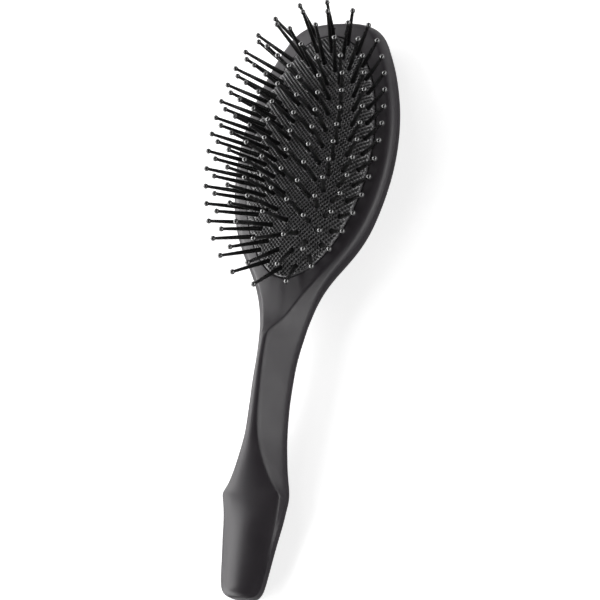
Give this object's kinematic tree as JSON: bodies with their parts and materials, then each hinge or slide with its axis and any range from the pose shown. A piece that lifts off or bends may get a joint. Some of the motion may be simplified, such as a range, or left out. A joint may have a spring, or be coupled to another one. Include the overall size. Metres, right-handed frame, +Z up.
{
  "type": "detangling brush",
  "caption": "Oval air-cushion hair brush with a domed rubber pad of ball-tipped pins and a slim shaped handle.",
  "frame": {"origin": "on the rest plane, under the middle of the bounding box", "axes": "+Y from the handle end to the head top, +Z up out of the cushion along the middle pins, +X across the head"},
  "size_m": [0.08, 0.2488, 0.0456],
  "materials": {
    "body_plastic": "soft-touch matte, dark grey",
    "inner_plastic": "plain moulded",
    "cushion_rubber": "black, moulded with a fine net",
    "pin_nylon": "glossy black"
  },
  "bodies": {
    "brush": {"front_frame": "body_plastic", "back_shell": "body_plastic", "pad_plate": "inner_plastic", "clamp_ring": "inner_plastic", "cushion": "cushion_rubber"},
    "pins_outer_1": {"pins_outer_1": "pin_nylon"},
    "pins_outer_2": {"pins_outer_2": "pin_nylon"},
    "pins_outer_3": {"pins_outer_3": "pin_nylon"},
    "pins_outer_4": {"pins_outer_4": "pin_nylon"},
    "pins_outer_5": {"pins_outer_5": "pin_nylon"},
    "pins_outer_6": {"pins_outer_6": "pin_nylon"},
    "pins_second_1": {"pins_second_1": "pin_nylon"},
    "pins_second_2": {"pins_second_2": "pin_nylon"},
    "pins_second_3": {"pins_second_3": "pin_nylon"},
    "pins_second_4": {"pins_second_4": "pin_nylon"},
    "pins_second_5": {"pins_second_5": "pin_nylon"},
    "pins_second_6": {"pins_second_6": "pin_nylon"},
    "pins_third_1": {"pins_third_1": "pin_nylon"},
    "pins_third_2": {"pins_third_2": "pin_nylon"},
    "pins_third_3": {"pins_third_3": "pin_nylon"},
    "pins_third_4": {"pins_third_4": "pin_nylon"},
    "pins_fourth_1": {"pins_fourth_1": "pin_nylon"},
    "pins_fourth_2": {"pins_fourth_2": "pin_nylon"},
    "pins_fourth_3": {"pins_fourth_3": "pin_nylon"},
    "pins_fourth_4": {"pins_fourth_4": "pin_nylon"},
    "pins_inner_1": {"pins_inner_1": "pin_nylon"},
    "pins_inner_2": {"pins_inner_2": "pin_nylon"}
  },
  "joints": [
    {"name": "press_outer_1", "type": "slide", "parent": "brush", "child": "pins_outer_1", "axis": [0.0317, -0.4224, 0.9059], "range_m": [-0.003, 0], "stiffness_N_per_m": 600, "deforming": ["cushion"]},
    {"name": "press_outer_2", "type": "slide", "parent": "brush", "child": "pins_outer_2", "axis": [-0.6738, -0.1115, 0.7305], "range_m": [-0.003, 0], "stiffness_N_per_m": 600, "deforming": ["cushion"]},
    {"name": "press_outer_3", "type": "slide", "parent": "brush", "child": "pins_outer_3", "axis": [-0.6794, 0.0914, 0.728], "range_m": [-0.003, 0], "stiffness_N_per_m": 600, "deforming": ["cushion"]},
    {"name": "press_outer_4", "type": "slide", "parent": "brush", "child": "pins_outer_4", "axis": [-0.0321, 0.4398, 0.8975], "range_m": [-0.003, 0], "stiffness_N_per_m": 600, "deforming": ["cushion"]},
    {"name": "press_outer_5", "type": "slide", "parent": "brush", "child": "pins_outer_5", "axis": [0.6759, 0.1026, 0.7298], "range_m": [-0.003, 0], "stiffness_N_per_m": 600, "deforming": ["cushion"]},
    {"name": "press_outer_6", "type": "slide", "parent": "brush", "child": "pins_outer_6", "axis": [0.6773, -0.1002, 0.7289], "range_m": [-0.003, 0], "stiffness_N_per_m": 600, "deforming": ["cushion"]},
    {"name": "press_second_1", "type": "slide", "parent": "brush", "child": "pins_second_1", "axis": [-0.1312, -0.504, 0.8537], "range_m": [-0.003, 0], "stiffness_N_per_m": 500, "deforming": ["cushion"]},
    {"name": "press_second_2", "type": "slide", "parent": "brush", "child": "pins_second_2", "axis": [-0.5888, -0.1126, 0.8004], "range_m": [-0.003, 0], "stiffness_N_per_m": 500, "deforming": ["cushion"]},
    {"name": "press_second_3", "type": "slide", "parent": "brush", "child": "pins_second_3", "axis": [-0.5777, 0.1474, 0.8029], "range_m": [-0.003, 0], "stiffness_N_per_m": 600, "deforming": ["cushion"]},
    {"name": "press_second_4", "type": "slide", "parent": "brush", "child": "pins_second_4", "axis": [0.1296, 0.5216, 0.8433], "range_m": [-0.003, 0], "stiffness_N_per_m": 500, "deforming": ["cushion"]},
    {"name": "press_second_5", "type": "slide", "parent": "brush", "child": "pins_second_5", "axis": [0.591, 0.1006, 0.8004], "range_m": [-0.003, 0], "stiffness_N_per_m": 500, "deforming": ["cushion"]},
    {"name": "press_second_6", "type": "slide", "parent": "brush", "child": "pins_second_6", "axis": [0.5761, -0.1565, 0.8022], "range_m": [-0.003, 0], "stiffness_N_per_m": 600, "deforming": ["cushion"]},
    {"name": "press_third_1", "type": "slide", "parent": "brush", "child": "pins_third_1", "axis": [-0.048, -0.2719, 0.9611], "range_m": [-0.003, 0], "stiffness_N_per_m": 700, "deforming": ["cushion"]},
    {"name": "press_third_2", "type": "slide", "parent": "brush", "child": "pins_third_2", "axis": [-0.4362, 0.0081, 0.8998], "range_m": [-0.003, 0], "stiffness_N_per_m": 600, "deforming": ["cushion"]},
    {"name": "press_third_3", "type": "slide", "parent": "brush", "child": "pins_third_3", "axis": [0.0474, 0.2792, 0.9591], "range_m": [-0.003, 0], "stiffness_N_per_m": 700, "deforming": ["cushion"]},
    {"name": "press_third_4", "type": "slide", "parent": "brush", "child": "pins_third_4", "axis": [0.4359, -0.0163, 0.8998], "range_m": [-0.003, 0], "stiffness_N_per_m": 600, "deforming": ["cushion"]},
    {"name": "press_fourth_1", "type": "slide", "parent": "brush", "child": "pins_fourth_1", "axis": [-0.0087, -0.1246, 0.9922], "range_m": [-0.003, 0], "stiffness_N_per_m": 500, "deforming": ["cushion"]},
    {"name": "press_fourth_2", "type": "slide", "parent": "brush", "child": "pins_fourth_2", "axis": [-0.2073, 0.0006, 0.9783], "range_m": [-0.003, 0], "stiffness_N_per_m": 500, "deforming": ["cushion"]},
    {"name": "press_fourth_3", "type": "slide", "parent": "brush", "child": "pins_fourth_3", "axis": [0.0067, 0.1262, 0.992], "range_m": [-0.003, 0], "stiffness_N_per_m": 500, "deforming": ["cushion"]},
    {"name": "press_fourth_4", "type": "slide", "parent": "brush", "child": "pins_fourth_4", "axis": [0.2072, -0.0035, 0.9783], "range_m": [-0.003, 0], "stiffness_N_per_m": 500, "deforming": ["cushion"]},
    {"name": "press_inner_1", "type": "slide", "parent": "brush", "child": "pins_inner_1", "axis": [0.0014, -0.0145, 0.9999], "range_m": [-0.003, 0], "stiffness_N_per_m": 700, "deforming": ["cushion"]},
    {"name": "press_inner_2", "type": "slide", "parent": "brush", "child": "pins_inner_2", "axis": [-0.0011, 0.0147, 0.9999], "range_m": [-0.003, 0], "stiffness_N_per_m": 700, "deforming": ["cushion"]}
  ]
}
